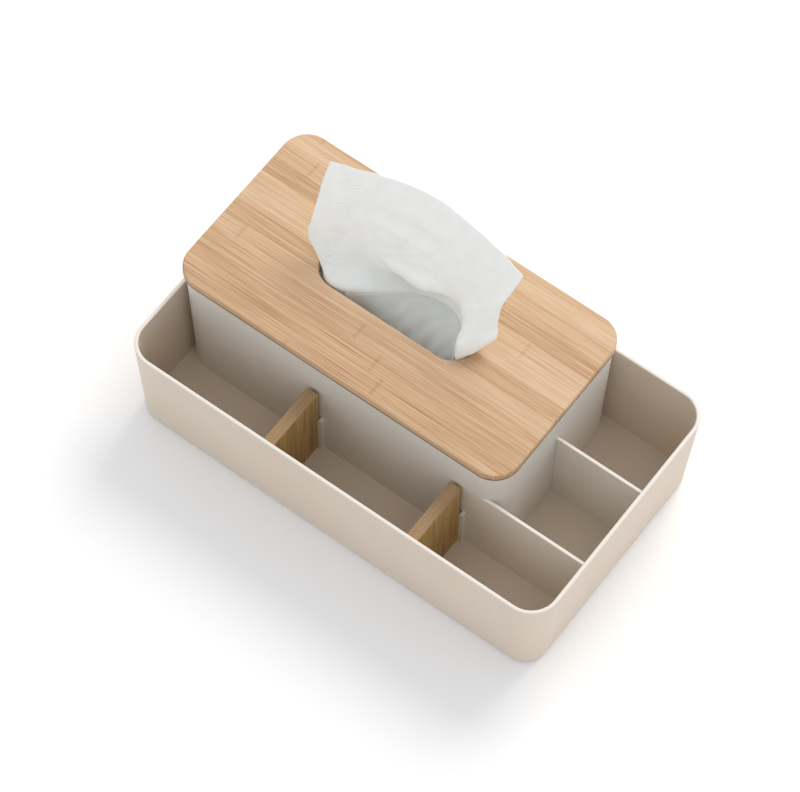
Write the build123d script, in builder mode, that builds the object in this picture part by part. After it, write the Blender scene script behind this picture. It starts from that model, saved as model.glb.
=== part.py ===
"""Tissue box organizer: a drafted tray with a raised, lidded tissue well in its back left corner.

Pockets for small things run along the front and the right side of the well. Two loose wooden
dividers stand between guide ribs in the front pocket, and fixed partitions part off the right side.

Millimetres. +X runs along the long side to the right, +Y to the back and +Z up.
The origin is on the table under the middle of the tray.
"""

import math
import os

from build123d import *

# Stack of folded tissues, from which the well, the lid and the tray take their sizes
stack_length = 150.0
stack_width = 100.0
stack_height = 60.0
stack_corner = 3.0
stack_edge_radius = 2.0
stack_end_margin = 45.0  # from the stack's ends to the lid's ends, with room for longer packs
stack_side_margin = 13.8  # from the stack's long sides to the lid's long sides

# Lid board
lid_thickness = 5.5
lid_corner = 17.0
lid_edge_radius = 1.2
lid_overhang = 1.4  # over the well's front and right walls
plug_depth = 4.0  # rebated part that drops into the well
plug_gap = 0.8
slot_length = 110.0
slot_width = 32.0
slot_edge_radius = 1.5

# Tray
side_pocket_reach = 62.5  # from the lid's right edge to the rim
front_pocket_reach = 48.9  # from the lid's front edge to the rim
rim_height = 76.0  # above the table
tray_corner = 19.0  # at the rim
tray_wall = 2.5
floor_thickness = 2.6
draft_angle = 3.5  # degrees that the tray's walls lean outwards
base_edge_radius = 3.0
rim_edge_radius = 0.9

# Anti-slip pads under the tray
pad_diameter = 16.0
pad_thickness = 2.0
pad_recess_depth = 1.0
pad_recess_gap = 0.15
pad_inset = 26.0  # from the base's edges to a pad's centre
pad_edge_bevel = 0.4

# Tissue well
well_height = 94.5  # top of the well's wall above the table
well_wall = 2.4
well_corner = 16.0
well_edge_bevel = 0.5

# Fixed partitions
partition_height = 68.0  # above the table
partition_wall = 2.2
partition_edge_radius = 0.6
front_partition_start = 3.6  # right of where the well's corner begins to turn
side_partition_place = 59.35  # middle of the partition, behind the well's front face

# Loose wooden dividers
divider_thickness = 8.0
divider_height = 68.0  # top edge above the table
divider_edge_radius = 0.8
left_divider_place = 105.25  # middle of the divider, right of the rim's left side
right_divider_place = 29.35  # middle of the divider, left of the well's right face

# Guide ribs beside the dividers
rib_width = 2.5
rib_depth = 3.0
rib_top_height = 37.0  # straight part of a rib ends here, above the table

# Pulled sheet
sheet_thickness = 1.4
sheet_rise = 60.0  # free edge above the lid
sheet_sweep = 37.0  # free edge's middle behind the slot's middle
sheet_half_width = 69.0  # half of the free edge's span

# The pulled sheet's run from left to right at four levels, from the slot to its free edge.
# Each pair is a share of the level's half span and a share of its depth.
slot_line_shares = (
    (-0.91, -0.19), (-0.69, 0.12), (-0.40, 0.50), (-0.09, 0.66), (0.22, 0.66), (0.45, 0.53),
    (0.62, 0.19), (0.73, -0.25), (0.81, -0.59), (0.90, -0.56), (0.95, -0.22), (0.95, 0.22),
)
low_line_shares = (
    (-0.96, -0.04), (-0.70, 0.14), (-0.41, 0.28), (-0.12, 0.35), (0.17, 0.38), (0.39, 0.34),
    (0.54, 0.20), (0.62, -0.03), (0.70, -0.19), (0.78, -0.18), (0.87, 0.00), (0.93, 0.22),
)
middle_line_shares = (
    (-0.97, 0.21), (-0.70, 0.39), (-0.41, 0.54), (-0.12, 0.62), (0.14, 0.65), (0.38, 0.62),
    (0.55, 0.53), (0.65, 0.43), (0.72, 0.38), (0.78, 0.38), (0.83, 0.41), (0.88, 0.45),
)
edge_line_shares = (
    (-1.00, 0.61), (-0.78, 0.72), (-0.49, 0.89), (-0.12, 1.00), (0.14, 0.98), (0.41, 0.95),
    (0.58, 0.92), (0.68, 0.89), (0.76, 0.85), (0.83, 0.82), (0.91, 0.78), (0.97, 0.74),
)
low_level_share = 0.20
middle_level_share = 0.53

# Clearances
seat_gap = 0.15  # between pieces that are fixed together
slide_gap = 0.3  # beside pieces that lift out

# Worked out from the above
lid_length = stack_length + 2 * stack_end_margin
lid_width = stack_width + 2 * stack_side_margin
tray_length = lid_length + side_pocket_reach
tray_width = lid_width + front_pocket_reach
base_height = pad_thickness - pad_recess_depth
floor_height = base_height + floor_thickness
lid_top = well_height + lid_thickness
lid_x = -side_pocket_reach / 2
lid_y = front_pocket_reach / 2
lid_front = lid_y - lid_width / 2
well_right = lid_x + lid_length / 2 - lid_overhang
well_front = lid_front + lid_overhang
side_partition_y = well_front + side_partition_place
divider_places = (left_divider_place - tray_length / 2, well_right - right_divider_place)
rib_offset = divider_thickness / 2 + slide_gap + rib_width / 2


def shell_size(height, inset):
    """Length, width and corner radius of the drafted shell at a height, drawn in by an inset."""
    growth = (height - rim_height) * math.tan(math.radians(draft_angle)) - inset
    return tray_length + 2 * growth, tray_width + 2 * growth, tray_corner + growth


def drafted_block(low, high, inset):
    """Block with the shell's drafted sides between two heights."""
    length, width, corner = shell_size(low, inset)
    with BuildPart() as block:
        with BuildSketch(Plane.XY.offset(low)):
            RectangleRounded(length, width, corner)
        extrude(amount=high - low, taper=-draft_angle)
    return block.part


def well_block(low, high, inset):
    """Block with the well's outline, its left and back sides along the tray's inner walls."""
    with BuildPart() as block:
        add(drafted_block(low, high, tray_wall + seat_gap + inset))
        split(bisect_by=Plane.YZ.offset(well_right - inset), keep=Keep.BOTTOM)
        split(bisect_by=Plane.XZ.offset(-well_front - inset), keep=Keep.BOTTOM)
        upright = block.edges().filter_by(lambda edge: edge.bounding_box().size.Z > (high - low) / 2)
        free_sides = block.faces().sort_by(Axis.Y)[0].edges() + block.faces().sort_by(Axis.X)[-1].edges()
        fillet(upright.filter_by(lambda edge: edge in free_sides), well_corner - inset)
    return block.part


def rib_profiles():
    """Round-topped outlines of the four ribs that hold the two dividers' ends."""
    for divider_x in divider_places:
        for side in (-1, 1):
            with Locations((divider_x + side * rib_offset, floor_height)):
                Rectangle(rib_width, rib_top_height - floor_height, align=(Align.CENTER, Align.MIN))
            with Locations((divider_x + side * rib_offset, rib_top_height)):
                Circle(rib_width / 2)


def pad_places():
    """Places of the four pads, by name, from the base's size."""
    length, width, _ = shell_size(base_height, 0)
    reach_x = length / 2 - pad_inset
    reach_y = width / 2 - pad_inset
    return {
        "front_left_pad": (-reach_x, -reach_y),
        "front_right_pad": (reach_x, -reach_y),
        "back_left_pad": (-reach_x, reach_y),
        "back_right_pad": (reach_x, reach_y),
    }


os.makedirs("parts", exist_ok=True)

# Ribs on the inside of the tray's front wall, ending halfway into the leaning wall
front_wall_y = -shell_size(floor_height, tray_wall)[1] / 2
with BuildPart() as wall_ribs:
    with BuildSketch(Plane.XZ.offset(-front_wall_y - rib_depth)):
        rib_profiles()
    extrude(amount=tray_width / 2)
    add(drafted_block(floor_height, rim_height, tray_wall / 2), mode=Mode.INTERSECT)

# Outer tray: drafted walls, flat floor, rounded rim, and round recesses for the pads
with BuildPart() as outer_tray:
    add(drafted_block(base_height, rim_height, 0))
    fillet(outer_tray.edges().group_by(Axis.Z)[0], base_edge_radius)
    add(drafted_block(floor_height, rim_height, tray_wall), mode=Mode.SUBTRACT)
    fillet(outer_tray.edges().group_by(Axis.Z)[-1], rim_edge_radius)
    add(wall_ribs.part)
    with BuildSketch(Plane.XY.offset(base_height)):
        with Locations(*pad_places().values()):
            Circle(pad_diameter / 2 + pad_recess_gap)
    extrude(amount=pad_recess_depth, mode=Mode.SUBTRACT)
outer_tray.part.label = "outer_tray"
export_step(outer_tray.part, "parts/outer_tray.step")

# Anti-slip pads, one in each recess
for pad_name, pad_place in pad_places().items():
    with BuildPart() as pad:
        with BuildSketch():
            with Locations(pad_place):
                Circle(pad_diameter / 2)
        extrude(amount=pad_thickness)
        chamfer(pad.edges().group_by(Axis.Z)[0], pad_edge_bevel)
    pad.part.label = pad_name
    export_step(pad.part, f"parts/{pad_name}.step")

# Tissue well: four walls on the tray's floor that rise above the rim, with ribs on the front one
with BuildPart() as tissue_well:
    add(well_block(floor_height, well_height, 0))
    add(well_block(floor_height, well_height, well_wall), mode=Mode.SUBTRACT)
    chamfer(tissue_well.edges().group_by(Axis.Z)[-1], well_edge_bevel)
    with BuildSketch(Plane.XZ.offset(-well_front)):
        rib_profiles()
    extrude(amount=rib_depth)
tissue_well.part.label = "tissue_well"
export_step(tissue_well.part, "parts/tissue_well.step")

# Fixed partitions, cut to the tray's leaning right wall and to the well's round corner
partition_room = drafted_block(floor_height, partition_height, tray_wall + seat_gap)
well_clearance = well_block(floor_height, partition_height, -seat_gap)

with BuildPart() as front_partition:
    with BuildSketch(Plane.XY.offset(floor_height)):
        with Locations((well_right - well_corner + front_partition_start, well_front)):
            Rectangle(tray_length / 2, partition_wall, align=(Align.MIN, Align.MIN))
    extrude(amount=partition_height - floor_height)
    add(partition_room, mode=Mode.INTERSECT)
    add(well_clearance, mode=Mode.SUBTRACT)
    fillet(front_partition.edges().filter_by(Axis.X).group_by(Axis.Z)[-1], partition_edge_radius)
front_partition.part.label = "front_partition"
export_step(front_partition.part, "parts/front_partition.step")

with BuildPart() as side_partition:
    with BuildSketch(Plane.XY.offset(floor_height)):
        with Locations((well_right + seat_gap, side_partition_y)):
            Rectangle(tray_length / 2, partition_wall, align=(Align.MIN, Align.CENTER))
    extrude(amount=partition_height - floor_height)
    add(partition_room, mode=Mode.INTERSECT)
    fillet(side_partition.edges().filter_by(Axis.X).group_by(Axis.Z)[-1], partition_edge_radius)
side_partition.part.label = "side_partition"
export_step(side_partition.part, "parts/side_partition.step")

# Wooden dividers, whose front edges lean with the tray's front wall and whose backs lift past the lid
divider_back_y = lid_front - slide_gap
for divider_name, divider_x in zip(("left_divider", "right_divider"), divider_places):
    with BuildPart() as divider:
        with BuildSketch(Plane.YZ.offset(divider_x - divider_thickness / 2)):
            with BuildLine():
                Polyline(
                    (divider_back_y, floor_height),
                    (divider_back_y, divider_height),
                    (slide_gap - shell_size(divider_height, tray_wall)[1] / 2, divider_height),
                    (slide_gap - shell_size(floor_height, tray_wall)[1] / 2, floor_height),
                    close=True,
                )
            make_face()
        extrude(amount=divider_thickness)
        fillet(divider.edges().group_by(Axis.Z)[-1], divider_edge_radius)
    divider.part.label = divider_name
    export_step(divider.part, f"parts/{divider_name}.step")

# Lid: a board with a rebated edge, so that its plug drops into the well, and a slot for the tissues
with BuildPart() as lid:
    with BuildSketch(Plane.XY.offset(well_height)):
        with Locations((lid_x, lid_y)):
            RectangleRounded(lid_length, lid_width, lid_corner)
    extrude(amount=lid_thickness)
    fillet(lid.edges().group_by(Axis.Z)[-1], lid_edge_radius)
    add(well_block(well_height - plug_depth, well_height, well_wall + plug_gap))
    with BuildSketch(Plane.XY.offset(lid_top)):
        with Locations((lid_x, lid_y)):
            SlotOverall(slot_length, slot_width)
    extrude(amount=-lid_thickness - plug_depth, mode=Mode.SUBTRACT)
    slot_edges = lid.faces().sort_by(Axis.Z)[-1].inner_wires()[0].edges()
    fillet(slot_edges, slot_edge_radius)
lid.part.label = "lid"
export_step(lid.part, "parts/lid.step")

# Stack of folded tissues on the floor of the well
with BuildPart() as tissue_stack:
    with BuildSketch(Plane.XY.offset(floor_height)):
        with Locations((lid_x, lid_y)):
            RectangleRounded(stack_length, stack_width, stack_corner)
    extrude(amount=stack_height)
    fillet(tissue_stack.edges().group_by(Axis.Z)[-1], stack_edge_radius)
tissue_stack.part.label = "tissue_stack"
export_step(tissue_stack.part, "parts/tissue_stack.step")

# Pulled tissue: one sheet that stands in the slot and leans back, with a fold forwards at its right side
tail_height = floor_height + stack_height + slide_gap
sheet_levels = (
    (tail_height, slot_length / 2, slot_width / 2, slot_line_shares),
    (lid_top, slot_length / 2, slot_width / 2, slot_line_shares),
    (lid_top + low_level_share * sheet_rise, sheet_half_width, sheet_sweep, low_line_shares),
    (lid_top + middle_level_share * sheet_rise, sheet_half_width, sheet_sweep, middle_line_shares),
    (lid_top + sheet_rise, sheet_half_width, sheet_sweep, edge_line_shares),
)


def sheet_sides(half_span, depth, line_shares):
    """Points along the sheet's front and back at one level, half its thickness either side of its line."""
    line = [Vector(lid_x + half_span * across, lid_y + depth * back) for across, back in line_shares]
    runs = [after - before for before, after in zip(line[:1] + line[:-1], line[1:] + line[-1:])]
    steps = [Vector(run.Y, -run.X).normalized() * (sheet_thickness / 2) for run in runs]
    front = [point + step for point, step in zip(line, steps)]
    back = [point - step for point, step in zip(line, steps)]
    return front, back


with BuildPart() as pulled_tissue:
    for height, half_span, depth, line_shares in sheet_levels:
        front, back = sheet_sides(half_span, depth, line_shares)
        with BuildSketch(Plane.XY.offset(height)):
            with BuildLine():
                Polyline(*front, *reversed(back), close=True)
            make_face()
    loft(ruled=True)
pulled_tissue.part.label = "pulled_tissue"
export_step(pulled_tissue.part, "parts/pulled_tissue.step")
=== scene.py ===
"""Looks of a tissue box organizer: a cream moulded tray with a bamboo lid over its tissue well.

Every length is in metres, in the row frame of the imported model, unless its comment says millimetres.
"""

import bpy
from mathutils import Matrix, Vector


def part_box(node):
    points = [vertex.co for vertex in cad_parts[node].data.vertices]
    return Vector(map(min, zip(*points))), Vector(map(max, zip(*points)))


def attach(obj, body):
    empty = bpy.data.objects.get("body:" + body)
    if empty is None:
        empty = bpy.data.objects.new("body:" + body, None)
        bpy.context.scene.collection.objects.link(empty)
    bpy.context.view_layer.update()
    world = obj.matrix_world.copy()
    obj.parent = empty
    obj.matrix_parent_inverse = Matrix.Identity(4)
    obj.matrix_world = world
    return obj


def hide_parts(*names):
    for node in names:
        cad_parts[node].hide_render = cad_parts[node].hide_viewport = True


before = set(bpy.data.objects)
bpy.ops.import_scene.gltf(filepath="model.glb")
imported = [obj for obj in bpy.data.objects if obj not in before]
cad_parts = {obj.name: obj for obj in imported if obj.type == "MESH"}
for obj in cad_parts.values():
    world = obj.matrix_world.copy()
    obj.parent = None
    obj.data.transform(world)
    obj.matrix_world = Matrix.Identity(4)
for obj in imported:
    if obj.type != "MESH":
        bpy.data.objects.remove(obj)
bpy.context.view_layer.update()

import logging
import math
from collections.abc import Mapping, Sequence
from dataclasses import dataclass
from enum import Enum
from typing import Any

import bpy
import numpy as np
from mathutils import Matrix, Vector

MM = 0.001
TISSUE_WIDTH = 150 * MM
TISSUE_LENGTH = 104 * MM  # of the half that comes out of the pack first
NOISE_LOW, NOISE_HIGH = 0.35, 0.65  # between them lie most values of a noise texture
log = logging.getLogger("tissue_box_organizer")


class Slot(Enum):
    """Names of two material slots of the record; nothing here gives them to a piece."""

    STACK = "stacked_tissue"
    TISSUE = "tissue_paper"


class Body(Enum):
    """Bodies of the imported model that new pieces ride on."""

    TRAY = "tray"
    TISSUE = "tissue"


def linear(hex_colour: str) -> tuple[float, float, float, float]:
    """Turns an sRGB hex colour to linear.

    Args:
        hex_colour: Six hex digits, with or without a leading hash.

    Returns:
        Linear red, green and blue, with an alpha of 1.
    """
    digits = hex_colour.lstrip("#")
    parts = [int(digits[i:i + 2], 16) / 255 for i in (0, 2, 4)]
    lights = [p / 12.92 if p <= 0.04045 else ((p + 0.055) / 1.055) ** 2.4 for p in parts]
    return (*lights, 1.0)


def add_node(
    tree: bpy.types.NodeTree,
    kind: str,
    values: Mapping[str | int, Any] | None = None,
    links: Mapping[str | int, bpy.types.NodeSocket] | None = None,
    stops: Sequence[tuple[float, str]] = (),
    **settings: Any,
) -> bpy.types.Node:
    """Adds a node with its settings, values and links.

    Args:
        tree: Node tree that gets the node.
        kind: The node's type name.
        values: Values for unlinked inputs, by name or number.
        links: Sockets that feed inputs, by name or number.
        stops: Places and hex colours of a colour ramp.
        settings: The node's own properties.

    Returns:
        The new node.
    """
    node = tree.nodes.new(kind)
    for name, value in settings.items():
        setattr(node, name, value)
    for name, value in (values or {}).items():
        node.inputs[name].default_value = value
    for name, socket in (links or {}).items():
        tree.links.new(socket, node.inputs[name])
    if stops:
        elements = node.color_ramp.elements
        while len(elements) < len(stops):
            elements.new(1.0)
        for element, (place, colour) in zip(elements, stops):
            element.position = place
            element.color = linear(colour)
    return node


def new_material(name: str) -> tuple[bpy.types.Material, bpy.types.NodeTree]:
    """Makes an empty node material.

    Args:
        name: The material's name.

    Returns:
        The material and its node tree.
    """
    material = bpy.data.materials.new(name)
    material.use_nodes = True
    material.node_tree.nodes.clear()
    return material, material.node_tree


def close_material(tree: bpy.types.NodeTree, shader: bpy.types.Node) -> None:
    """Links a shader to the material's output.

    Args:
        tree: The material's node tree.
        shader: Shader node whose first output is the surface.
    """
    add_node(tree, "ShaderNodeOutputMaterial", links={"Surface": shader.outputs[0]})


@dataclass(frozen=True)
class MouldedPlastic:
    """Cream polypropylene from a spark-eroded mould: an even satin with a fine grit and soft cloudiness, and a
    painted highlight along its top edges.
    """

    name: str
    light: str
    deep: str
    edge_height: float
    edge: str = "#EAE2D8"  # painted highlight: the top edges are drawn paler, standing in for the light that falls on them from above
    highlight_depth: float = 0.9 * MM
    highlight_full: float = 0.2  # share of that depth that takes the full painted highlight
    cloud: float = 80 * MM
    grit: float = 0.9 * MM  # real grit is near 0.1 mm, drawn coarser so that it shows
    grit_height: float = 0.012 * MM
    grit_strength: float = 0.6
    roughness: tuple[float, float] = (0.42, 0.54)
    ior: float = 1.49

    def make(self) -> bpy.types.Material:
        """Builds the material.

        Returns:
            The finish of one moulding.
        """
        material, tree = new_material(self.name)
        place = add_node(tree, "ShaderNodeTexCoord").outputs["Object"]
        cloud = add_node(
            tree, "ShaderNodeTexNoise", {"Scale": 1 / self.cloud, "Detail": 2.0}, {"Vector": place},
        )
        grit = add_node(
            tree, "ShaderNodeTexNoise", {"Scale": 1 / self.grit, "Detail": 3.0}, {"Vector": place},
        )
        colour = add_node(
            tree, "ShaderNodeValToRGB", links={"Fac": cloud.outputs["Fac"]},
            stops=((NOISE_LOW, self.deep), (NOISE_HIGH, self.light)),
        )
        height = add_node(tree, "ShaderNodeSeparateXYZ", links={"Vector": place})
        # Painted highlight: a paler band on the top edges, where light from above falls on them.
        highlight_mask = add_node(
            tree, "ShaderNodeMapRange",
            {
                "From Min": self.edge_height - self.highlight_depth,
                "From Max": self.edge_height - self.highlight_full * self.highlight_depth,
            },
            {"Value": height.outputs["Z"]}, interpolation_type="SMOOTHSTEP",
        )
        highlighted = add_node(
            tree, "ShaderNodeMix", {"B": linear(self.edge)},
            {"Factor": highlight_mask.outputs["Result"], "A": colour.outputs["Color"]}, data_type="RGBA",
        )
        rough = add_node(
            tree, "ShaderNodeMapRange", {"To Min": self.roughness[0], "To Max": self.roughness[1]},
            {"Value": grit.outputs["Fac"]},
        )
        bump = add_node(
            tree, "ShaderNodeBump", {"Strength": self.grit_strength, "Distance": self.grit_height},
            {"Height": grit.outputs["Fac"]},
        )
        shader = add_node(
            tree, "ShaderNodeBsdfPrincipled", {"IOR": self.ior},
            {
                "Base Color": highlighted.outputs["Result"],
                "Roughness": rough.outputs["Result"],
                "Normal": bump.outputs["Normal"],
            },
        )
        close_material(tree, shader)
        return material


@dataclass(frozen=True)
class BambooBoard:
    """Edge-glued bamboo, sanded and lacquered: strips of differing tone, fine fibres, node marks and a painted
    shadow line low on its edge.
    """

    name: str = "lacquered_bamboo_board"
    dark: str = "#9E7149"
    middle: str = "#CAA57F"
    light: str = "#DFC2A1"
    tone_places: tuple[float, float, float] = (0.31, 0.48, 0.65)
    gap_shadow: str = "#5A4026"  # painted shadow: a thin dark line low on the edge, standing in for the shade in the gap under the board
    seat: float = 0.0945  # height of the board's underside
    gap_shadow_height: float = 1.3 * MM
    gap_shadow_full: float = 0.3  # share of that height, from its middle, that is fully dark
    strip: float = 12 * MM
    strip_share: float = 0.12  # of the tone that differs from strip to strip
    fibre: float = 1.5 * MM
    fibre_length: float = 120 * MM
    fine_fibre: float = 0.5 * MM
    fine_length: float = 55 * MM
    fine_share: float = 0.76  # of the fine fibres in the grain
    fibre_roughness: float = 0.6
    joint_spacing: float = 230 * MM  # between the node rings along one strip
    joint_length: float = 1.8 * MM
    joint_shade: float = 0.05
    relief: float = 0.03 * MM
    relief_strength: float = 0.5
    roughness: tuple[float, float] = (0.66, 0.56)
    ior: float = 1.5

    def make(self) -> bpy.types.Material:
        """Builds the material.

        Returns:
            The lid's finish.
        """
        material, tree = new_material(self.name)
        place = add_node(tree, "ShaderNodeTexCoord").outputs["Object"]
        axes = add_node(tree, "ShaderNodeSeparateXYZ", links={"Vector": place})
        count = add_node(
            tree, "ShaderNodeMath", {1: self.strip}, {0: axes.outputs["Y"]}, operation="DIVIDE",
        )
        strip = add_node(tree, "ShaderNodeMath", links={0: count.outputs[0]}, operation="FLOOR")
        tone = add_node(
            tree, "ShaderNodeTexWhiteNoise", links={"W": strip.outputs[0]}, noise_dimensions="1D",
        )
        shift = add_node(
            tree, "ShaderNodeMath", {1: self.joint_spacing}, {0: tone.outputs["Value"]}, operation="MULTIPLY",
        )
        along = add_node(
            tree, "ShaderNodeMath", links={0: axes.outputs["X"], 1: shift.outputs[0]}, operation="ADD",
        )
        moved = add_node(
            tree, "ShaderNodeCombineXYZ",
            links={"X": along.outputs[0], "Y": axes.outputs["Y"], "Z": axes.outputs["Z"]},
        )
        grains = []
        for width, length, detail in (
            (self.fibre, self.fibre_length, 2.0),
            (self.fine_fibre, self.fine_length, 3.0),
        ):
            stretched = add_node(
                tree, "ShaderNodeMapping", {"Scale": (1 / length, 1 / width, 1 / width)},
                {"Vector": moved.outputs[0]},
            )
            grains.append(add_node(
                tree, "ShaderNodeTexNoise",
                {"Scale": 1.0, "Detail": detail, "Roughness": self.fibre_roughness},
                {"Vector": stretched.outputs[0]},
            ))
        mixed = add_node(
            tree, "ShaderNodeMix", {"Factor": self.fine_share},
            {"A": grains[0].outputs["Fac"], "B": grains[1].outputs["Fac"]}, data_type="FLOAT",
        )
        toned = add_node(
            tree, "ShaderNodeMix", {"Factor": self.strip_share},
            {"A": mixed.outputs["Result"], "B": tone.outputs["Value"]}, data_type="FLOAT",
        )
        ring = add_node(
            tree, "ShaderNodeMath", {1: self.joint_spacing / 2}, {0: along.outputs[0]}, operation="PINGPONG",
        )
        mark = add_node(
            tree, "ShaderNodeMapRange",
            {"From Max": self.joint_length, "To Min": self.joint_shade, "To Max": 0.0},
            {"Value": ring.outputs[0]}, interpolation_type="SMOOTHSTEP",
        )
        shade = add_node(
            tree, "ShaderNodeMath", links={0: toned.outputs["Result"], 1: mark.outputs["Result"]},
            operation="SUBTRACT",
        )
        colour = add_node(
            tree, "ShaderNodeValToRGB", links={"Fac": shade.outputs[0]},
            stops=tuple(zip(self.tone_places, (self.dark, self.middle, self.light))),
        )
        # Painted shadow: a thin dark line low on the board's edge, where the gap under the board is in shade.
        over = add_node(
            tree, "ShaderNodeMath", {1: self.seat + self.gap_shadow_height / 2}, {0: axes.outputs["Z"]},
            operation="SUBTRACT",
        )
        away = add_node(tree, "ShaderNodeMath", links={0: over.outputs[0]}, operation="ABSOLUTE")
        gap_shadow_mask = add_node(
            tree, "ShaderNodeMapRange",
            {
                "From Min": self.gap_shadow_full * self.gap_shadow_height,
                "From Max": 0.5 * self.gap_shadow_height,
                "To Min": 1.0,
                "To Max": 0.0,
            },
            {"Value": away.outputs[0]},
        )
        gap_shadowed = add_node(
            tree, "ShaderNodeMix", {"B": linear(self.gap_shadow)},
            {"Factor": gap_shadow_mask.outputs["Result"], "A": colour.outputs["Color"]}, data_type="RGBA",
        )
        rough = add_node(
            tree, "ShaderNodeMapRange", {"To Min": self.roughness[0], "To Max": self.roughness[1]},
            {"Value": grains[1].outputs["Fac"]},
        )
        bump = add_node(
            tree, "ShaderNodeBump", {"Strength": self.relief_strength, "Distance": self.relief},
            {"Height": mixed.outputs["Result"]},
        )
        shader = add_node(
            tree, "ShaderNodeBsdfPrincipled", {"IOR": self.ior},
            {
                "Base Color": gap_shadowed.outputs["Result"],
                "Roughness": rough.outputs["Result"],
                "Normal": bump.outputs["Normal"],
            },
        )
        close_material(tree, shader)
        return material


@dataclass(frozen=True)
class DividerWood:
    """Oiled brown hardwood planed to a thin board: upright bands, short pores and a paler lipped top edge."""

    top_height: float
    name: str = "oiled_brown_hardwood"
    dark: str = "#967644"
    middle: str = "#B08D53"
    light: str = "#C1A166"
    tone_places: tuple[float, float, float] = (0.28, 0.48, 0.68)
    top_dark: str = "#8A6A46"
    top_light: str = "#B29169"
    top_places: tuple[float, float] = (0.25, 0.7)
    top_depth: float = 0.5 * MM
    top_full: float = 0.3  # share of that depth that is fully pale
    band: float = 2.6 * MM
    band_length: float = 70 * MM
    pore: float = 0.55 * MM
    pore_length: float = 9 * MM
    pore_places: tuple[float, float] = (0.3, 0.5)
    pore_shade: float = -0.12
    wander: float = 0.6  # how much the grain bends
    relief: float = 0.05 * MM
    relief_strength: float = 0.6
    roughness: tuple[float, float] = (0.62, 0.5)
    ior: float = 1.5

    def make(self) -> bpy.types.Material:
        """Builds the material.

        Returns:
            The dividers' finish.
        """
        material, tree = new_material(self.name)
        place = add_node(tree, "ShaderNodeTexCoord").outputs["Object"]
        bands = []
        for width, length, detail in ((self.band, self.band_length, 3.0), (self.pore, self.pore_length, 2.0)):
            stretched = add_node(
                tree, "ShaderNodeMapping", {"Scale": (1 / width, 1 / width, 1 / length)}, {"Vector": place},
            )
            bands.append(add_node(
                tree, "ShaderNodeTexNoise", {"Scale": 1.0, "Detail": detail, "Distortion": self.wander},
                {"Vector": stretched.outputs[0]},
            ))
        pores = add_node(
            tree, "ShaderNodeMapRange",
            {
                "From Min": self.pore_places[0],
                "From Max": self.pore_places[1],
                "To Min": self.pore_shade,
                "To Max": 0.0,
            },
            {"Value": bands[1].outputs["Fac"]},
        )
        shade = add_node(
            tree, "ShaderNodeMath", links={0: bands[0].outputs["Fac"], 1: pores.outputs["Result"]},
            operation="ADD",
        )
        colour = add_node(
            tree, "ShaderNodeValToRGB", links={"Fac": shade.outputs[0]},
            stops=tuple(zip(self.tone_places, (self.dark, self.middle, self.light))),
        )
        lengthwise = add_node(
            tree, "ShaderNodeMapping",
            {"Scale": (1 / self.pore, 1 / self.band_length, 1 / self.band_length)}, {"Vector": place},
        )
        streaks = add_node(
            tree, "ShaderNodeTexNoise", {"Scale": 1.0, "Detail": 3.0}, {"Vector": lengthwise.outputs[0]},
        )
        lipping = add_node(
            tree, "ShaderNodeValToRGB", links={"Fac": streaks.outputs["Fac"]},
            stops=tuple(zip(self.top_places, (self.top_dark, self.top_light))),
        )
        height = add_node(tree, "ShaderNodeSeparateXYZ", links={"Vector": place})
        upper = add_node(
            tree, "ShaderNodeMapRange",
            {
                "From Min": self.top_height - self.top_depth,
                "From Max": self.top_height - self.top_full * self.top_depth,
            },
            {"Value": height.outputs["Z"]}, interpolation_type="SMOOTHSTEP",
        )
        lipped = add_node(
            tree, "ShaderNodeMix",
            links={
                "Factor": upper.outputs["Result"],
                "A": colour.outputs["Color"],
                "B": lipping.outputs["Color"],
            },
            data_type="RGBA",
        )
        rough = add_node(
            tree, "ShaderNodeMapRange", {"To Min": self.roughness[0], "To Max": self.roughness[1]},
            {"Value": shade.outputs[0]},
        )
        bump = add_node(
            tree, "ShaderNodeBump", {"Strength": self.relief_strength, "Distance": self.relief},
            {"Height": shade.outputs[0]},
        )
        shader = add_node(
            tree, "ShaderNodeBsdfPrincipled", {"IOR": self.ior},
            {
                "Base Color": lipped.outputs["Result"],
                "Roughness": rough.outputs["Result"],
                "Normal": bump.outputs["Normal"],
            },
        )
        close_material(tree, shader)
        return material


@dataclass(frozen=True)
class SiliconePad:
    """Die-cut milky silicone: dull, slightly dusty and softly mottled."""

    name: str = "milky_silicone_rubber"
    light: str = "#D8D6D0"
    deep: str = "#C4C1BA"
    mottle: float = 2.5 * MM
    relief: float = 0.03 * MM
    relief_strength: float = 0.4
    roughness: float = 0.75
    ior: float = 1.41

    def make(self) -> bpy.types.Material:
        """Builds the material.

        Returns:
            The pads' finish.
        """
        material, tree = new_material(self.name)
        place = add_node(tree, "ShaderNodeTexCoord").outputs["Object"]
        mottle = add_node(
            tree, "ShaderNodeTexNoise", {"Scale": 1 / self.mottle, "Detail": 4.0}, {"Vector": place},
        )
        colour = add_node(
            tree, "ShaderNodeValToRGB", links={"Fac": mottle.outputs["Fac"]},
            stops=((NOISE_LOW, self.deep), (NOISE_HIGH, self.light)),
        )
        bump = add_node(
            tree, "ShaderNodeBump", {"Strength": self.relief_strength, "Distance": self.relief},
            {"Height": mottle.outputs["Fac"]},
        )
        shader = add_node(
            tree, "ShaderNodeBsdfPrincipled", {"IOR": self.ior, "Roughness": self.roughness},
            {"Base Color": colour.outputs["Color"], "Normal": bump.outputs["Normal"]},
        )
        close_material(tree, shader)
        return material


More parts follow.
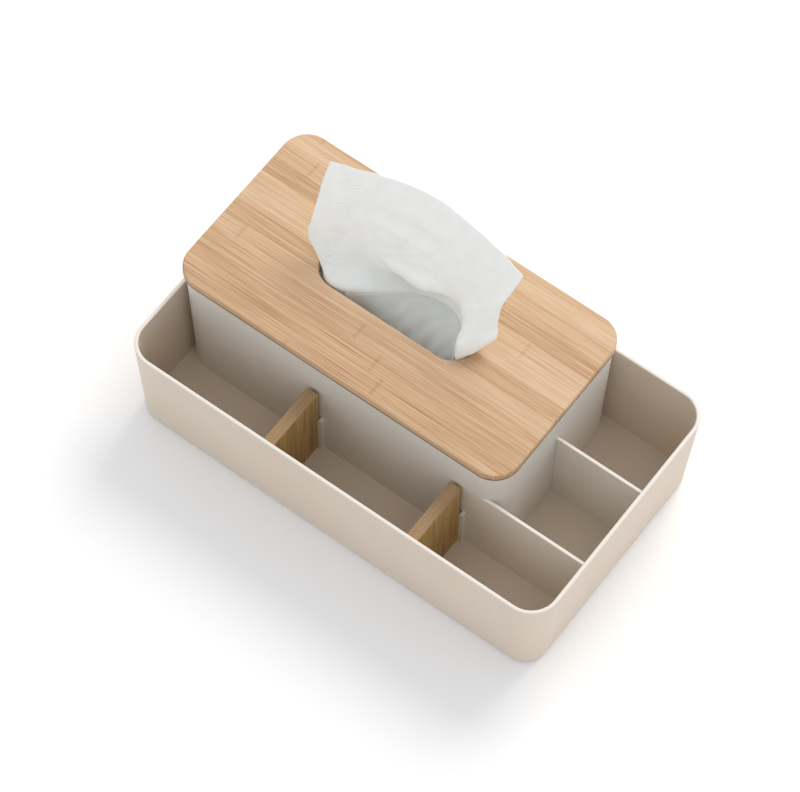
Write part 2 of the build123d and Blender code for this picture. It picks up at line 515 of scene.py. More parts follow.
@dataclass(frozen=True)
class TissuePaper:
    """Two-ply creped tissue: soft white with cloudy fibres, fine crepe, pressed waves and a glow."""

    name: str = "creped_white_tissue"
    light: str = "#F4F7F3"
    deep: str = "#EFF2ED"
    cloud: float = 9 * MM
    cloud_height: float = 0.02 * MM
    crepe: float = 0.8 * MM  # real crepe is near 0.3 mm, drawn coarser so that it shows
    crepe_height: float = 0.02 * MM
    crepe_strength: float = 0.5
    emboss: float = 2.3 * MM  # pitch of the pressed waves
    emboss_height: float = 0.2 * MM
    emboss_line: float = 0.25  # half width of a pressed wave, as a share of the pitch
    emboss_inset: float = 14 * MM  # of the pressed band's middle from the sheet's left side
    emboss_width: float = 11 * MM
    emboss_fade: tuple[float, float] = (0.4, 0.5)  # shares of the width between which the band ends
    emboss_swing: float = 0.5 * MM  # of one wave to both sides
    emboss_bends: int = 2  # of one wave over the band's width
    emboss_group: float = 16 * MM  # between the groups of waves along the band
    group_fade: tuple[float, float] = (0.2, 0.26)  # shares of that distance between which a group ends
    emboss_start: float = 19 * MM  # of the first group before the sheet's tail
    roughness: float = 0.92
    specular: float = 0.2
    glow: float = 0.5
    glow_depth: float = 1.2 * MM
    ior: float = 1.4

    def press(self, tree: bpy.types.NodeTree, flat: bpy.types.NodeSocket) -> bpy.types.NodeSocket:
        """Builds the pattern of the pressed waves.

        Args:
            tree: The material's node tree.
            flat: Place on the flat sheet, from 0 to 1 across and along.

        Returns:
            One on a pressed wave, and nothing elsewhere.
        """
        axes = add_node(tree, "ShaderNodeSeparateXYZ", links={"Vector": flat})
        across = add_node(
            tree, "ShaderNodeMath", {1: TISSUE_WIDTH}, {0: axes.outputs["X"]}, operation="MULTIPLY",
        )
        along = add_node(
            tree, "ShaderNodeMath", {1: TISSUE_LENGTH, 2: self.emboss_start}, {0: axes.outputs["Y"]},
            operation="MULTIPLY_ADD",
        )
        off = add_node(
            tree, "ShaderNodeMath", {1: self.emboss_inset}, {0: across.outputs[0]}, operation="SUBTRACT",
        )
        phase = add_node(
            tree, "ShaderNodeMath", {1: 2 * math.pi * self.emboss_bends / self.emboss_width},
            {0: off.outputs[0]}, operation="MULTIPLY",
        )
        bend = add_node(tree, "ShaderNodeMath", links={0: phase.outputs[0]}, operation="SINE")
        wave = add_node(
            tree, "ShaderNodeMath", {1: self.emboss_swing}, {0: bend.outputs[0], 2: along.outputs[0]},
            operation="MULTIPLY_ADD",
        )
        pressed = add_node(
            tree, "ShaderNodeMath", {1: self.emboss / 2}, {0: wave.outputs[0]}, operation="PINGPONG",
        )
        side = add_node(tree, "ShaderNodeMath", links={0: off.outputs[0]}, operation="ABSOLUTE")
        turn = add_node(
            tree, "ShaderNodeMath", {1: self.emboss_group / 2}, {0: along.outputs[0]}, operation="PINGPONG",
        )
        line, band, group = (
            add_node(
                tree, "ShaderNodeMapRange",
                {"From Min": start * size, "From Max": end * size, "To Min": 1.0, "To Max": 0.0},
                {"Value": away.outputs[0]}, interpolation_type="SMOOTHSTEP",
            )
            for away, size, start, end in (
                (pressed, self.emboss, 0.0, self.emboss_line),
                (side, self.emboss_width, *self.emboss_fade),
                (turn, self.emboss_group, *self.group_fade),
            )
        )
        patch = add_node(
            tree, "ShaderNodeMath", links={0: band.outputs["Result"], 1: group.outputs["Result"]},
            operation="MULTIPLY",
        )
        mark = add_node(
            tree, "ShaderNodeMath", links={0: line.outputs["Result"], 1: patch.outputs[0]},
            operation="MULTIPLY",
        )
        return mark.outputs[0]

    def make(self) -> bpy.types.Material:
        """Builds the material.

        Returns:
            The finish of all tissues.
        """
        material, tree = new_material(self.name)
        places = add_node(tree, "ShaderNodeTexCoord").outputs
        cloud = add_node(
            tree, "ShaderNodeTexNoise", {"Scale": 1 / self.cloud, "Detail": 5.0}, {"Vector": places["Object"]},
        )
        crepe = add_node(
            tree, "ShaderNodeTexNoise", {"Scale": 1 / self.crepe, "Detail": 2.0}, {"Vector": places["Object"]},
        )
        colour = add_node(
            tree, "ShaderNodeValToRGB", links={"Fac": cloud.outputs["Fac"]},
            stops=((NOISE_LOW, self.deep), (NOISE_HIGH, self.light)),
        )
        clouded = add_node(
            tree, "ShaderNodeBump", {"Strength": self.crepe_strength, "Distance": self.cloud_height},
            {"Height": cloud.outputs["Fac"]},
        )
        creped = add_node(
            tree, "ShaderNodeBump", {"Strength": self.crepe_strength, "Distance": self.crepe_height},
            {"Height": crepe.outputs["Fac"], "Normal": clouded.outputs["Normal"]},
        )
        bump = add_node(
            tree, "ShaderNodeBump", {"Strength": 1.0, "Distance": self.emboss_height},
            {"Height": self.press(tree, places["UV"]), "Normal": creped.outputs["Normal"]},
        )
        shader = add_node(
            tree, "ShaderNodeBsdfPrincipled",
            {
                "IOR": self.ior,
                "Roughness": self.roughness,
                "Subsurface Weight": self.glow,
                "Subsurface Radius": (1.0, 1.0, 1.0),
                "Subsurface Scale": self.glow_depth,
                "Specular IOR Level": self.specular,
            },
            {"Base Color": colour.outputs["Color"], "Normal": bump.outputs["Normal"]},
        )
        close_material(tree, shader)
        return material


def dress(names: Sequence[str], material: bpy.types.Material) -> None:
    """Gives CAD nodes one material.

    Args:
        names: The nodes' names.
        material: The material they all take.
    """
    for name in names:
        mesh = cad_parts[name].data
        mesh.materials.clear()
        mesh.materials.append(material)
        log.info("dressed %s with %s", name, material.name)


def new_piece(name: str, mesh: bpy.types.Mesh) -> bpy.types.Object:
    """Links a mesh to the scene as a piece at the origin.

    Args:
        name: The piece's name.
        mesh: Its mesh, in the row frame.

    Returns:
        The new object.
    """
    piece = bpy.data.objects.new(name, mesh)
    bpy.context.scene.collection.objects.link(piece)
    return piece


def settle(piece: bpy.types.Object) -> None:
    """Turns a piece's modifiers into a plain mesh.

    Args:
        piece: Object whose modifiers are evaluated and removed.
    """
    bpy.context.view_layer.update()
    shaped = piece.evaluated_get(bpy.context.evaluated_depsgraph_get())
    mesh = bpy.data.meshes.new_from_object(shaped)
    piece.modifiers.clear()
    piece.data = mesh


def curve_through(points: np.ndarray, places: np.ndarray, samples: np.ndarray) -> np.ndarray:
    """Smooth curve through points, by cubic pieces with averaged slopes.

    Args:
        points: Points along the first axis, with any further axes carried along.
        places: Rising parameter of each point.
        samples: Parameters at which the curve is wanted.

    Returns:
        The curve's points at the samples.
    """
    extra = (1,) * (points.ndim - 1)
    steps = np.diff(places).reshape(-1, *extra)
    slopes = np.diff(points, axis=0) / steps
    inner = (slopes[:-1] * steps[1:] + slopes[1:] * steps[:-1]) / (steps[:-1] + steps[1:])
    tangents = np.concatenate((slopes[:1], inner, slopes[-1:]))
    first = np.clip(np.searchsorted(places, samples, side="right") - 1, 0, len(places) - 2)
    width = (places[first + 1] - places[first]).reshape(-1, *extra)
    t = ((samples - places[first]) / (places[first + 1] - places[first])).reshape(-1, *extra)
    return (
        (2 * t**3 - 3 * t**2 + 1) * points[first]
        + (t**3 - 2 * t**2 + t) * width * tangents[first]
        + (3 * t**2 - 2 * t**3) * points[first + 1]
        + (t**3 - t**2) * width * tangents[first + 1]
    )


@dataclass
class Tray:
    """The moulded tray with its well, partitions and anti-slip pads, all kept from the CAD."""

    mouldings: tuple[tuple[tuple[str, ...], str, str, str], ...] = (
        (("outer_tray",), "moulded_cream_polypropylene", "#DBCBBA", "#D8C8B6"),
        (("tissue_well",), "moulded_pale_polypropylene", "#E0DCD4", "#DDD9D0"),
        (("front_partition", "side_partition"), "moulded_partition_polypropylene", "#E0DAD0", "#DDD6CB"),
    )  # nodes, and their finish's name, light tone and deep tone
    pads: tuple[str, ...] = ("front_left_pad", "front_right_pad", "back_left_pad", "back_right_pad")

    def dress(self) -> None:
        """Gives the mouldings their plastic and the pads their silicone."""
        for nodes, name, light, deep in self.mouldings:
            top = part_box(nodes[0])[1].z
            dress(nodes, MouldedPlastic(name=name, light=light, deep=deep, edge_height=top).make())
        dress(self.pads, SiliconePad().make())


@dataclass
class Woodwork:
    """The bamboo lid and the two loose dividers, kept from the CAD."""

    lid: str = "lid"
    dividers: tuple[str, ...] = ("left_divider", "right_divider")

    def dress(self) -> None:
        """Gives the lid its bamboo and the dividers their brown wood."""
        dress((self.lid,), BambooBoard().make())
        dress(self.dividers, DividerWood(top_height=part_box(self.dividers[0])[1].z).make())


@dataclass
class TissueStack:
    """The folded tissues in the well, as many thin layers with soft folded edges."""

    layers: int = 36
    fold_share: float = 0.94  # of a layer's pitch that its paper fills
    fold_radius: float = 0.49  # of the folded edges, as a share of the paper
    fold_steps: int = 4
    jitter: float = 0.7 * MM
    turn: float = 0.004  # radians
    seed: int = 7

    def build_tree(self) -> bpy.types.GeometryNodeTree:
        """Builds the node tree that piles the layers.

        Returns:
            The tree, with named inputs for its sizes.
        """
        tree = bpy.data.node_groups.new("piled_layers", "GeometryNodeTree")
        for name, kind in (
            ("Layers", "NodeSocketInt"), ("Length", "NodeSocketFloat"), ("Width", "NodeSocketFloat"),
            ("Pitch", "NodeSocketFloat"), ("Paper", "NodeSocketFloat"), ("Jitter", "NodeSocketFloat"),
            ("Turn", "NodeSocketFloat"), ("Seed", "NodeSocketInt"), ("Base", "NodeSocketVector"),
            ("Material", "NodeSocketMaterial"),
        ):
            tree.interface.new_socket(name, in_out="INPUT", socket_type=kind)
        tree.interface.new_socket("Geometry", in_out="OUTPUT", socket_type="NodeSocketGeometry")
        given = add_node(tree, "NodeGroupInput").outputs
        half = add_node(tree, "ShaderNodeMath", {1: 0.5}, {0: given["Length"]}, operation="MULTIPLY")
        back = add_node(tree, "ShaderNodeMath", {1: -1.0}, {0: half.outputs[0]}, operation="MULTIPLY")
        start = add_node(tree, "ShaderNodeCombineXYZ", links={"X": back.outputs[0]})
        end = add_node(tree, "ShaderNodeCombineXYZ", links={"X": half.outputs[0]})
        path = add_node(
            tree, "GeometryNodeCurvePrimitiveLine", links={"Start": start.outputs[0], "End": end.outputs[0]},
        )
        outline = add_node(
            tree, "GeometryNodeCurvePrimitiveQuadrilateral",
            links={"Width": given["Width"], "Height": given["Paper"]},
        )
        fold = add_node(
            tree, "ShaderNodeMath", {1: self.fold_radius}, {0: given["Paper"]}, operation="MULTIPLY",
        )
        rounded = add_node(
            tree, "GeometryNodeFilletCurve", {"Count": self.fold_steps},
            {"Curve": outline.outputs[0], "Radius": fold.outputs[0]}, mode="POLY",
        )
        layer = add_node(
            tree, "GeometryNodeCurveToMesh", {"Fill Caps": True},
            {"Curve": path.outputs[0], "Profile Curve": rounded.outputs[0]},
        )
        step = add_node(tree, "ShaderNodeCombineXYZ", links={"Z": given["Pitch"]})
        pile = add_node(
            tree, "GeometryNodeMeshLine",
            links={"Count": given["Layers"], "Start Location": given["Base"], "Offset": step.outputs[0]},
        )
        low = add_node(tree, "ShaderNodeMath", {1: -1.0}, {0: given["Jitter"]}, operation="MULTIPLY")
        least = add_node(tree, "ShaderNodeCombineXYZ", links={"X": low.outputs[0], "Y": low.outputs[0]})
        most = add_node(tree, "ShaderNodeCombineXYZ", links={"X": given["Jitter"], "Y": given["Jitter"]})
        slip = add_node(
            tree, "FunctionNodeRandomValue",
            links={0: least.outputs[0], 1: most.outputs[0], "Seed": given["Seed"]}, data_type="FLOAT_VECTOR",
        )
        shifted = add_node(
            tree, "GeometryNodeSetPosition", links={"Geometry": pile.outputs[0], "Offset": slip.outputs[0]},
        )
        turn_low = add_node(tree, "ShaderNodeMath", {1: -1.0}, {0: given["Turn"]}, operation="MULTIPLY")
        angle = add_node(
            tree, "FunctionNodeRandomValue",
            links={2: turn_low.outputs[0], 3: given["Turn"], "Seed": given["Seed"]}, data_type="FLOAT",
        )
        spin = add_node(tree, "ShaderNodeCombineXYZ", links={"Z": angle.outputs[1]})
        laid = add_node(
            tree, "GeometryNodeInstanceOnPoints",
            links={"Points": shifted.outputs[0], "Instance": layer.outputs[0], "Rotation": spin.outputs[0]},
        )
        real = add_node(tree, "GeometryNodeRealizeInstances", links={"Geometry": laid.outputs[0]})
        coloured = add_node(
            tree, "GeometryNodeSetMaterial",
            links={"Geometry": real.outputs[0], "Material": given["Material"]},
        )
        add_node(tree, "NodeGroupOutput", links={"Geometry": coloured.outputs[0]})
        return tree

    def build(self, paper: bpy.types.Material) -> bpy.types.Object:
        """Piles the layers in the space of the CAD stack.

        Args:
            paper: Material of the tissues.

        Returns:
            The stack's object, riding on the tray.
        """
        low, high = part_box("tissue_stack")
        size = high - low
        pitch = size.z / self.layers
        stack = new_piece("tissue_stack_layers", bpy.data.meshes.new("tissue_stack_layers"))
        tree = self.build_tree()
        modifier = stack.modifiers.new("Layers", "NODES")
        modifier.node_group = tree
        middle = (low + high) / 2
        given = {
            "Layers": self.layers, "Length": size.x - 2 * self.jitter, "Width": size.y - 2 * self.jitter,
            "Pitch": pitch, "Paper": pitch * self.fold_share, "Jitter": self.jitter, "Turn": self.turn,
            "Seed": self.seed, "Base": (middle.x, middle.y, low.z + pitch / 2), "Material": paper,
        }
        for item in tree.interface.items_tree:
            if item.item_type == "SOCKET" and item.in_out == "INPUT":
                modifier[item.identifier] = given[item.name]
        settle(stack)
        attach(stack, Body.TRAY.value)
        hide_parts("tissue_stack")
        return stack


def grid_piece(
    name: str, points: np.ndarray, paper: bpy.types.Material, thickness: float,
) -> bpy.types.Object:
    """Makes a thin smooth sheet from a grid of points.

    Args:
        name: The piece's name.
        points: Points by row, column and axis, in the row frame.
        paper: The sheet's material.
        thickness: How thick the sheet is.

    Returns:
        The sheet's object, a plain mesh with one UV map over the flat sheet.
    """
    rows, columns = points.shape[:2]
    faces = [
        (r * columns + c, r * columns + c + 1, (r + 1) * columns + c + 1, (r + 1) * columns + c)
        for r in range(rows - 1) for c in range(columns - 1)
    ]
    mesh = bpy.data.meshes.new(name)
    mesh.from_pydata(points.reshape(-1, 3).tolist(), [], faces)
    layer = mesh.uv_layers.new(name="flat_sheet")
    for loop in mesh.loops:
        row, column = divmod(loop.vertex_index, columns)
        layer.data[loop.index].uv = (column / (columns - 1), row / (rows - 1))
    mesh.materials.append(paper)
    mesh.shade_smooth()
    sheet = new_piece(name, mesh)
    wall = sheet.modifiers.new("Paper", "SOLIDIFY")
    wall.thickness = thickness
    wall.offset = 0.0
    settle(sheet)
    return sheet


def smooth_grid(rows: np.ndarray, up: int, across: int) -> np.ndarray:
    """Smooth surface through rows of control points.

    Args:
        rows: Control points by row, column and axis.
        up: How many rows the surface has.
        across: How many columns the surface has.

    Returns:
        The surface's points by row, column and axis.
    """
    runs = np.linalg.norm(np.diff(rows, axis=1), axis=2).mean(axis=0)
    places = np.concatenate(((0,), np.cumsum(runs)))
    wide = curve_through(np.swapaxes(rows, 0, 1), places / places[-1], np.linspace(0, 1, across))
    wide = np.swapaxes(wide, 0, 1)
    rises = np.linalg.norm(np.diff(wide, axis=0), axis=2).mean(axis=1)
    places = np.concatenate(((0,), np.cumsum(rises)))
    return curve_through(wide, places / places[-1], np.linspace(0, 1, up))


def grid_normals(points: np.ndarray) -> np.ndarray:
    """Unit normals of a grid of points.

    Args:
        points: Points by row, column and axis.

    Returns:
        The normals, towards the side from which columns run right and rows run up.
    """
    normals = np.cross(np.gradient(points, axis=1), np.gradient(points, axis=0))
    return normals / np.linalg.norm(normals, axis=2, keepdims=True)


def between(values: np.ndarray, start: tuple[float, float], end: tuple[float, float]) -> np.ndarray:
    """Weights of values in a range that fades at both ends.

    Args:
        values: The values to weigh.
        start: Where the range starts, and over how much the weight grows.
        end: Where the range ends, and over how much the weight has fallen there.

    Returns:
        Weights from 0 to 1.
    """
    return np.clip((values - start[0]) / start[1], 0, 1) * np.clip((end[0] - values) / end[1], 0, 1)


@dataclass(frozen=True)
class Wave:
    """A soft wave over a sheet: height in millimetres, two rates in radians per millimetre, and phase."""

    height: float
    rates: tuple[float, float]
    phase: float = 0.0

    def at(self, first: np.ndarray, second: np.ndarray) -> np.ndarray:
        """Height of the wave at points with these two places, in millimetres."""
        return self.height * np.sin(self.rates[0] * first + self.rates[1] * second + self.phase)


@dataclass(frozen=True)
class Crease:
    """A straight fold line of a sheet, in millimetres from the slot's middle at the lid's top."""

    height: float
    start: tuple[float, float, float]
    end: tuple[float, float, float]
    reach: float  # to both sides of the crest
    fall: float = 1.05  # power of the fall from the crest, which is sharp near 1

    def lift(self, points: np.ndarray) -> np.ndarray:
        """How far the crease lifts a sheet.

        Args:
            points: The sheet's points by row, column and axis, in millimetres.

        Returns:
            The lift of each point in millimetres, most at the crest and nothing past the reach.
        """
        first, last = np.array(self.start), np.array(self.end)
        run = last - first
        along = ((points - first) @ run) / (run @ run)
        near = first + np.clip(along, 0, 1)[..., None] * run
        distance = np.linalg.norm(points - near, axis=2)
        return self.height * np.clip(1 - distance / self.reach, 0, 1) ** self.fall


def slot_middle() -> np.ndarray:
    """Middle of the lid's slot, at the lid's top."""
    low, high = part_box("lid")
    return np.array(((low.x + high.x) / 2, (low.y + high.y) / 2, high.z))


@dataclass
class PulledSheet:
    """The tissue that stands in the lid's slot: a soft sheet that leans back, folded forwards at its right.

    Its rows run from left to right at rising heights. Places, heights and waves are in millimetres from the
    slot's middle at the lid's top.
    """

    across: int = 180
    up: int = 130
    thickness: float = 0.3 * MM
    flat: tuple[float, float] = (TISSUE_WIDTH, TISSUE_LENGTH)
    tail: float = -35.0
    under_lid: float = -6.0
    edge: float = 59.2
    slot_row: tuple[tuple[float, float], ...] = (
        (-48.5, -10), (-42, -14), (-32, -13), (-20, -6.5), (-7, 2.5), (5, 10), (17, 14),
        (29, 13.8), (38.5, 8.5), (43.5, 0), (46, -7.5), (49.8, -10.8), (53.2, -5.5), (53.2, 2),
    )
    rows: tuple[tuple[tuple[float, float, float], ...], ...] = (
        (
            (-56, -6, 5), (-46, -6, 5), (-32, -1.5, 6), (-19, 6, 7), (-7, 13.5, 7), (5, 17.2, 7),
            (17, 18.2, 6.5), (29, 16.5, 5.5), (38.8, 10, 5), (43.7, 0.5, 5), (46.3, -7.5, 5), (50.3, -11, 5),
            (56.5, -6, 5), (59.5, 4, 5),
        ),
        (
            (-66, -1.5, 12), (-50, 4, 13.5), (-34, 9, 15), (-21, 11.5, 16), (-7, 10.8, 15.5), (7, 11, 14),
            (18, 13, 13), (29, 14, 12.5), (38, 10.5, 12), (43.5, 1, 12), (46.6, -6.5, 12), (51, -9.3, 12),
            (58.5, -3, 12), (64, 8, 12),
        ),
        (
            (-66.6, 2.5, 21), (-50, 8.5, 22), (-34, 13.5, 23.5), (-20, 16.3, 24), (-7, 17.5, 23.5),
            (7, 18.2, 22.5), (18, 18.5, 22), (29, 17.5, 21), (38, 14, 21), (43.5, 8.5, 21), (47.5, 4.5, 21),
            (52, 3.5, 21), (57.5, 7, 21), (62, 12, 21),
        ),
        (
            (-67, 7.6, 32), (-50, 13.8, 32), (-34, 18.8, 33), (-20, 22, 33.5), (-7, 24, 33), (7, 24.8, 32.5),
            (18, 24, 32), (29, 22.4, 32), (38, 19.5, 32), (45, 16, 32), (49.5, 14.2, 32), (53.5, 14, 32),
            (57, 15, 32), (60.5, 16.5, 32),
        ),
        (
            (-68, 15, 46), (-52.5, 20, 46), (-36, 25.3, 46), (-20, 29.5, 46), (-7, 31.8, 46), (7, 32, 46),
            (18, 31.1, 46), (29, 29.4, 46), (38.5, 27, 46), (46, 24.6, 46), (51, 23, 46), (55.5, 22, 46),
            (60, 21.7, 46), (63.8, 21.6, 46),
        ),
    )
    edge_row: tuple[tuple[float, float], ...] = (
        (-68, 23), (-54, 27.3), (-38, 33), (-21, 38), (-6, 40.3), (8, 39.8), (19, 38.2),
        (29, 36.4), (39, 34.5), (47, 32.9), (52.5, 31.9), (57.5, 30.4), (62.5, 28.8), (67, 27.2),
    )
    creases: tuple[Crease, ...] = (
        Crease(4.4, (-22, 11.8, 17), (12, 11.8, 13.5), 9),
        Crease(4.0, (-30, 20.5, 33), (4, 23, 31), 10),
        Crease(4.2, (4, 23, 31), (-22, 11.8, 17), 9),
        Crease(3.0, (4, 23, 31), (42, 11, 18), 10),
    )
    hollow: Crease = Crease(1.6, (-30, 26.5, 42), (8, 29, 41), 12)
    flutter: tuple[Wave, Wave] = (Wave(0.3, (0.23, 0.11), 0.6), Wave(1.0, (-0.05, 0.17), 1.1))
    ripple: Wave = Wave(0.22, (0.41, -0.19), 2.2)
    sway: Wave = Wave(0.5, (0.075, 0.03))  # reached at the sway's height
    sway_height: float = 60.0
    held_height: float = 2.0  # the slot holds the sheet up to here
    loosening: float = 12.0  # height over which creases and waves then grow

    def control_rows(self) -> np.ndarray:
        """Control points by row, column and axis, in metres from the slot's middle at the lid's top."""
        heights = (self.tail, self.tail / 2, self.under_lid, 0.0)
        rows = [[(x, y, height) for x, y in self.slot_row] for height in heights]
        rows += self.rows
        rows.append([(x, y, self.edge) for x, y in self.edge_row])
        return np.array(rows, float) * MM

    def surface(self) -> np.ndarray:
        """Grid of the sheet's points with its creases and small waves.

        Returns:
            Points by row, column and axis, in metres from the slot's middle at the lid's top.
        """
        points = smooth_grid(self.control_rows(), self.up, self.across)
        x, z = points[..., 0] / MM, points[..., 2] / MM
        lift = np.max([crease.lift(points / MM) for crease in self.creases], axis=0)
        lift -= self.hollow.lift(points / MM)
        waves = self.flutter[0].at(x, z) * self.flutter[1].at(x, z)
        waves += self.ripple.at(x, z) + self.sway.at(x, z) * z / self.sway_height
        free = np.clip((z - self.held_height) / self.loosening, 0, 1)
        shift = (lift + waves) * free * MM
        return points + grid_normals(points) * shift[..., None]

    def build(self, paper: bpy.types.Material) -> bpy.types.Object:
        """Makes the sheet.

        Args:
            paper: Material of the tissue.

        Returns:
            The sheet's object, riding on the tissue body.
        """
        sheet = grid_piece("pulled_tissue_sheet", self.surface() + slot_middle(), paper, self.thickness)
        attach(sheet, Body.TISSUE.value)
        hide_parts("pulled_tissue")
        return sheet


@dataclass
class NextTissue:
    """The tissue below, drawn up with the first one and left leaning against it, with a pleated foot.

    Its places, heights and waves are in millimetres from the slot's middle at the lid's top.
    """

    across: int = 110
    up: int = 100
    thickness: float = 0.3 * MM
    flat: tuple[float, float] = (80 * MM, 64 * MM)
    reach: tuple[float, float] = (-30.0, 47.5)  # left and right end
    front: float = -14.6  # where it rises from the pack, from front to back
    lean_height: float = -1.0  # where it follows the pulled sheet
    edge: float = 0.2  # height of the top edge
    clearance: float = 0.3  # of the foot over the pack
    gap: float = 0.38  # from the pulled sheet
    slack: float = 0.25  # more gap at the left end
    dip: float = 3.5  # how far the top edge falls at both ends
    left_fall: tuple[float, float] = (4.0, 30.0)  # where the fall starts, and over how far it runs
    right_fall: tuple[float, float] = (40.0, 7.0)
    spread: float = 0.1  # how much wider the foot is, as a share
    section: tuple[tuple[float, float, float], ...] = (
        (0, -13, 0), (0, -7.5, 0.004), (0, -3.2, 0.05), (0, -0.8, 0.15), (0.03, 0, 0.29),
        (0.15, 0, 0.44), (0.37, 0, 0.59), (0.62, 0, 0.74), (0.84, 0, 0.87), (0.96, 0, 0.955), (1, 0, 1.0),
    )  # share of the way back, push forwards and share of the height, from the foot up
    folds: tuple[tuple[float, float, float, float], ...] = (
        (1.0, 2.6, 0.15, 1.6), (-0.7, 19, 0.3, 3.5),
    )  # height, place from left to right, slant and width
    waves: tuple[Wave, ...] = (Wave(0.4, (0.31, 0.22)), Wave(0.3, (0.57, -0.35), 1.0))
    wavy: tuple[tuple[float, float], ...] = ((0.25, 0.2), (0.93, 0.2))  # range of the height, as shares
    pleats: tuple[Wave, ...] = (Wave(1.5, (0.42, 0.05), 0.8), Wave(0.8, (0.83, 0.0), 2.0))
    pleated: tuple[tuple[float, float], ...] = ((0.0, 0.1), (0.6, 0.35))

    def surface(self) -> np.ndarray:
        """Grid of the tissue's points, from its foot on the stack up to its edge against the pulled sheet.

        Returns:
            Points by row, column and axis, in metres from the slot's middle at the lid's top.
        """
        sheet = PulledSheet().surface() / MM
        level = int(np.argmin(np.abs(sheet[:, 0, 2] - self.lean_height)))
        line = sheet[level]
        kept = (line[:, 0] > self.reach[0]) & (line[:, 0] < self.reach[1])
        line, away = line[kept], grid_normals(sheet)[level][kept]
        left = np.clip((self.left_fall[0] - line[:, 0]) / self.left_fall[1], 0, 1)
        right = np.clip((line[:, 0] - self.right_fall[0]) / self.right_fall[1], 0, 1)
        back = line + away * (self.gap + self.slack * left)[:, None]
        top = self.edge - self.dip * np.maximum(left, right)
        foot = (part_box("tissue_stack")[1].z - slot_middle()[2]) / MM + self.clearance
        middle = sum(self.reach) / 2
        rows = [
            np.stack((
                middle + (back[:, 0] - middle) * (1 + self.spread * (1 - rise) ** 2),
                self.front + share * (back[:, 1] - self.front) + push,
                foot + rise * (top - foot),
            ), axis=1)
            for share, push, rise in self.section
        ]
        points = smooth_grid(np.array(rows), self.up, self.across)
        x, y, z = (points[..., axis] for axis in range(3))
        waves = sum(wave.at(x, y) for wave in self.waves)
        for height, place, slant, width in self.folds:
            waves += height * np.exp(-(((x - place - slant * y) / width) ** 2))
        pleats = sum(pleat.at(x, z) for pleat in self.pleats)
        rise = (z - foot) / (top.max() - foot)
        shift = waves * between(rise, *self.wavy) + pleats * between(rise, *self.pleated)
        return (points + grid_normals(points) * shift[..., None]) * MM

    def build(self, paper: bpy.types.Material) -> bpy.types.Object:
        """Makes the leaning tissue.

        Args:
            paper: Material of the tissue.

        Returns:
            The tissue's object, riding on the tray with the stack.
        """
        sheet = grid_piece("next_tissue_sheet", self.surface() + slot_middle(), paper, self.thickness)
        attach(sheet, Body.TRAY.value)
        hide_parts("tissue_stack")
        return sheet


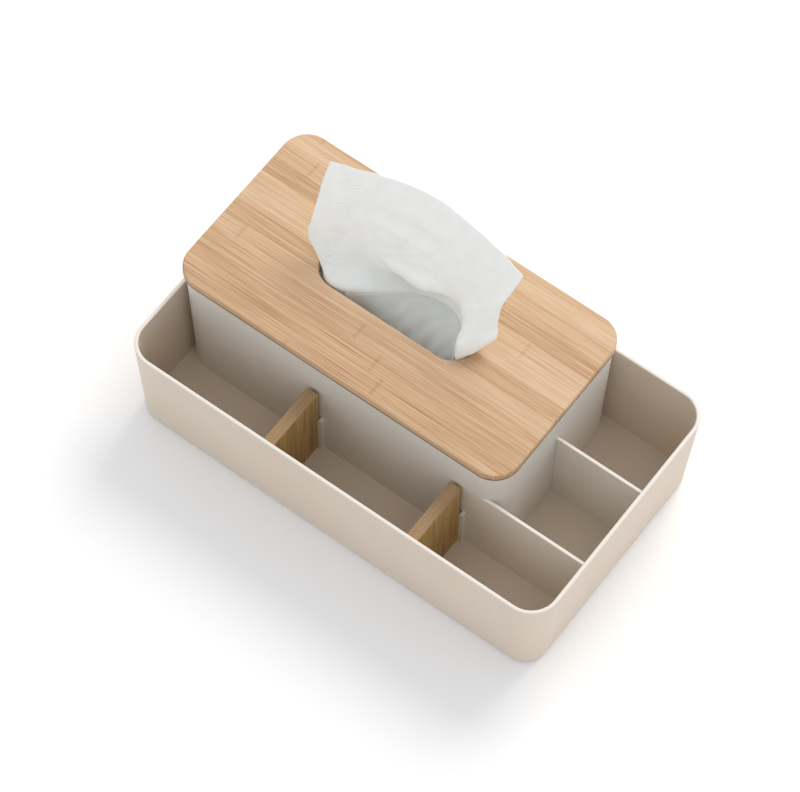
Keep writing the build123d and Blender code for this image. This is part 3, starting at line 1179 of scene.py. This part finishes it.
@dataclass
class Studio:
    """White floor, soft light from behind and the camera at the photograph's angle."""

    azimuth: float = math.radians(34.55)
    elevation: float = math.radians(61.06)
    roll: float = math.radians(2.18)
    aside: tuple[float, float] = (8.2 * MM, -26.1 * MM)  # of the origin in the view, right and up
    distance: float = 2416.3 * MM
    lens: float = 180.0  # millimetres
    sensor: float = 36.0  # millimetres
    view_end: float = 50.0
    floor_size: float = 8.0
    floor_colour: str = "#FFFFFF"
    sky: float = 0.82
    sky_colour: str = "#F8FBFF"
    key_power: float = 54.0
    key_place: tuple[float, float, float] = (0.05, 2.2, 2.5)
    key_size: float = 1.9
    key_colour: str = "#FFF8EE"

    def build_floor(self) -> None:
        """Makes the plain white floor."""
        half = self.floor_size / 2
        mesh = bpy.data.meshes.new("floor")
        mesh.from_pydata(
            [(-half, -half, 0), (half, -half, 0), (half, half, 0), (-half, half, 0)], [], [(0, 1, 2, 3)],
        )
        material, tree = new_material("white_studio_floor")
        shader = add_node(
            tree, "ShaderNodeBsdfPrincipled",
            {"Base Color": linear(self.floor_colour), "Roughness": 1.0, "Specular IOR Level": 0.0},
        )
        close_material(tree, shader)
        mesh.materials.append(material)
        new_piece("floor", mesh)

    def build_light(self) -> None:
        """Makes the white world and the soft lamp behind the object."""
        world = bpy.data.worlds.new("studio")
        bpy.context.scene.world = world
        world.use_nodes = True
        tree = world.node_tree
        tree.nodes.clear()
        path = add_node(tree, "ShaderNodeLightPath").outputs
        seen = add_node(
            tree, "ShaderNodeMath", links={0: path["Is Camera Ray"], 1: path["Is Glossy Ray"]},
            operation="MAXIMUM",
        )
        shown = add_node(
            tree, "ShaderNodeMath", links={0: seen.outputs[0], 1: path["Is Transmission Ray"]},
            operation="MAXIMUM",
        )
        level = add_node(
            tree, "ShaderNodeMapRange", {"To Min": self.sky, "To Max": 1.0}, {"Value": shown.outputs[0]},
        )
        white = add_node(
            tree, "ShaderNodeBackground", {"Color": linear(self.sky_colour)},
            {"Strength": level.outputs["Result"]},
        )
        add_node(tree, "ShaderNodeOutputWorld", links={"Surface": white.outputs[0]})
        lamp = bpy.data.lights.new("key", "AREA")
        lamp.shape = "DISK"
        lamp.size = self.key_size
        lamp.energy = self.key_power
        lamp.color = linear(self.key_colour)[:3]
        key = bpy.data.objects.new("key", lamp)
        key.location = self.key_place
        key.rotation_euler = (-Vector(self.key_place)).to_track_quat("-Z", "Y").to_euler()
        bpy.context.scene.collection.objects.link(key)

    def build_camera(self) -> None:
        """Puts the camera where the photograph was taken from."""
        sin_a, cos_a = math.sin(self.azimuth), math.cos(self.azimuth)
        sin_e, cos_e = math.sin(self.elevation), math.cos(self.elevation)
        back = Vector((sin_a * cos_e, -cos_a * cos_e, sin_e))
        level = Vector((cos_a, sin_a, 0))
        upright = back.cross(level)
        right = math.cos(self.roll) * level + math.sin(self.roll) * upright
        up = math.cos(self.roll) * upright - math.sin(self.roll) * level
        place = self.distance * back - self.aside[0] * right - self.aside[1] * up
        lens = bpy.data.cameras.new("camera")
        lens.lens = self.lens
        lens.sensor_width = self.sensor
        lens.clip_end = self.view_end
        camera = bpy.data.objects.new("camera", lens)
        turn = Matrix((right, up, back)).transposed()
        camera.matrix_world = Matrix.Translation(place) @ turn.to_4x4()
        bpy.context.scene.collection.objects.link(camera)
        bpy.context.scene.camera = camera

    def build(self) -> None:
        """Sets up the floor, the light, the camera and the plain view."""
        self.build_floor()
        self.build_light()
        self.build_camera()
        bpy.context.scene.view_settings.view_transform = "Standard"


def main() -> None:
    """Builds and dresses the organizer, piece by piece, and sets up the studio."""
    logging.basicConfig(level=logging.INFO, format="%(name)s: %(message)s")
    Tray().dress()
    Woodwork().dress()
    paper = TissuePaper().make()
    for maker in (TissueStack(), NextTissue(), PulledSheet()):
        piece = maker.build(paper)
        log.info("made %s with %d faces", piece.name, len(piece.data.polygons))
    Studio().build()


if __name__ == "__main__":
    main()
